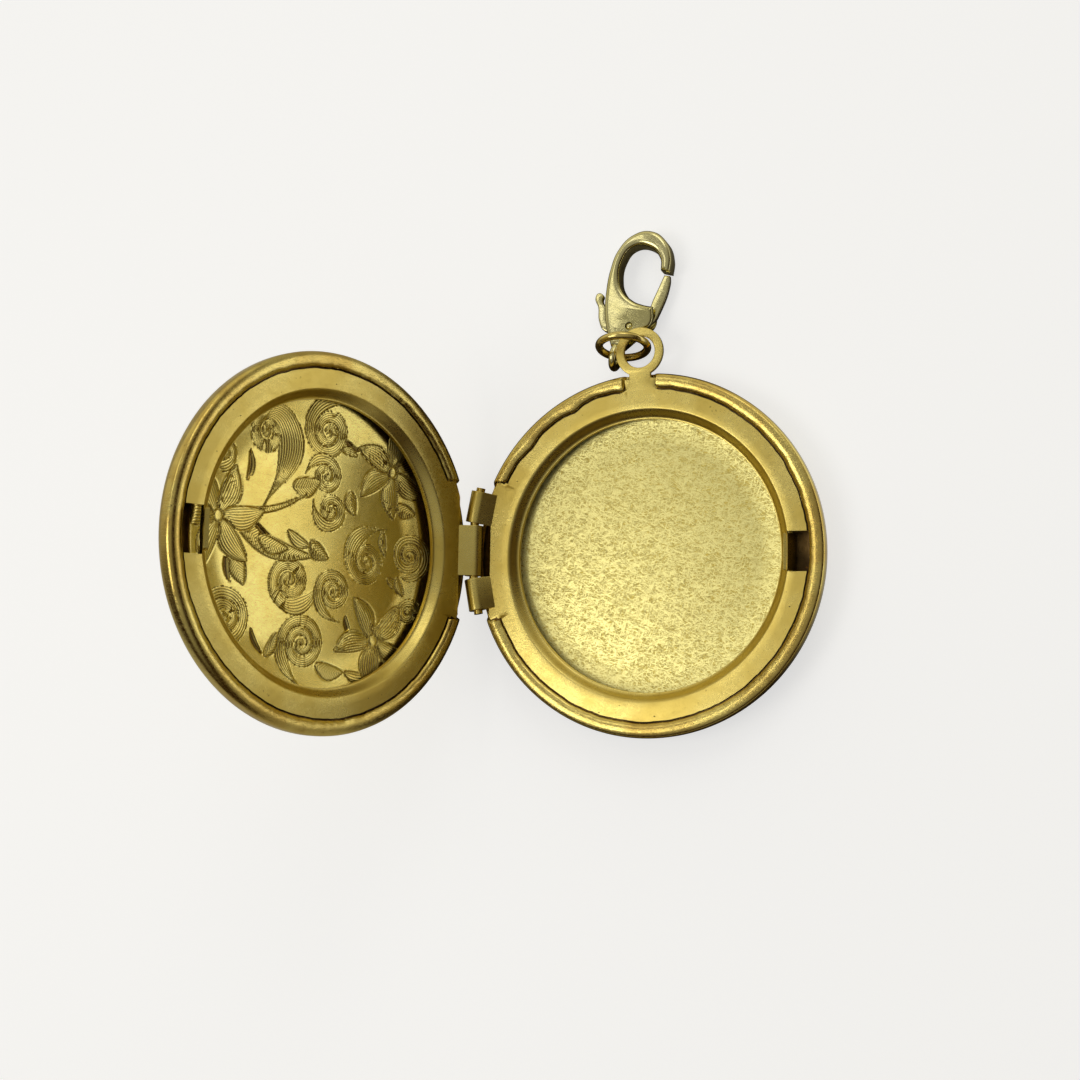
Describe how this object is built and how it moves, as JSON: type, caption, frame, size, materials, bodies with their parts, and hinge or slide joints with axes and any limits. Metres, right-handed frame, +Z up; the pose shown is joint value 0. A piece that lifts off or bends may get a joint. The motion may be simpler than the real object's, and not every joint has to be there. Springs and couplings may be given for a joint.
{
  "type": "locket",
  "caption": "Round hinged locket standing open, with a slotted catch, a bail, a split jump ring and a sprung lobster clasp.",
  "frame": {"origin": "centre of the flat outer face of the back half, which lies on the surface", "axes": "+Z up through the back half, +X from the hinge towards the catch, +Y towards the bail"},
  "size_m": [0.0449, 0.0453, 0.0336],
  "materials": {
    "back_shell": "satin gold plate, finely scratched",
    "back_frame": "satin gold plate, small pits",
    "front_shell": "gold plate with a stamped floral pattern",
    "front_frame": "satin gold plate, small pits",
    "hinge_pin": "plain gold-plated wire",
    "jump_ring": "polished gold-plated wire",
    "clasp_body": "polished pale gold plate",
    "clasp_lever": "polished pale gold plate",
    "clasp_pivot_pin": "polished pale gold plate",
    "clasp_spring": "plain spring wire"
  },
  "bodies": {
    "back_half": {"back_shell": "back_shell", "back_frame": "back_frame", "hinge_pin": "hinge_pin"},
    "front_half": {"front_shell": "front_shell", "front_frame": "front_frame"},
    "ring": {"jump_ring": "jump_ring"},
    "clasp": {"clasp_body": "clasp_body", "clasp_pivot_pin": "clasp_pivot_pin", "clasp_spring": "clasp_spring"},
    "lever": {"clasp_lever": "clasp_lever"}
  },
  "joints": [
    {"name": "locket_hinge", "type": "hinge", "parent": "back_half", "child": "front_half", "pos_m": [-0.0161, 0, 0.0034], "axis": [0, 1, 0], "range_deg": [-65, 109.3]},
    {"name": "ring_swing", "type": "hinge", "parent": "back_half", "child": "ring", "pos_m": [-0.00047, 0.01842, 0.00278], "axis": [1, 0, 0], "range_deg": [-20, 3]},
    {"name": "clasp_swing", "type": "hinge", "parent": "ring", "child": "clasp", "pos_m": [-0.0032, 0.01805, 0.00147], "axis": [0.9758, -0.2079, -0.0682], "range_deg": [-45, 1]},
    {"name": "lever_pivot", "type": "hinge", "parent": "clasp", "child": "lever", "pos_m": [-0.00176, 0.02055, 0.00137], "axis": [0.0698, 0, 0.9976], "range_deg": [0, 18], "stiffness_Nm_per_rad": 0.001}
  ]
}
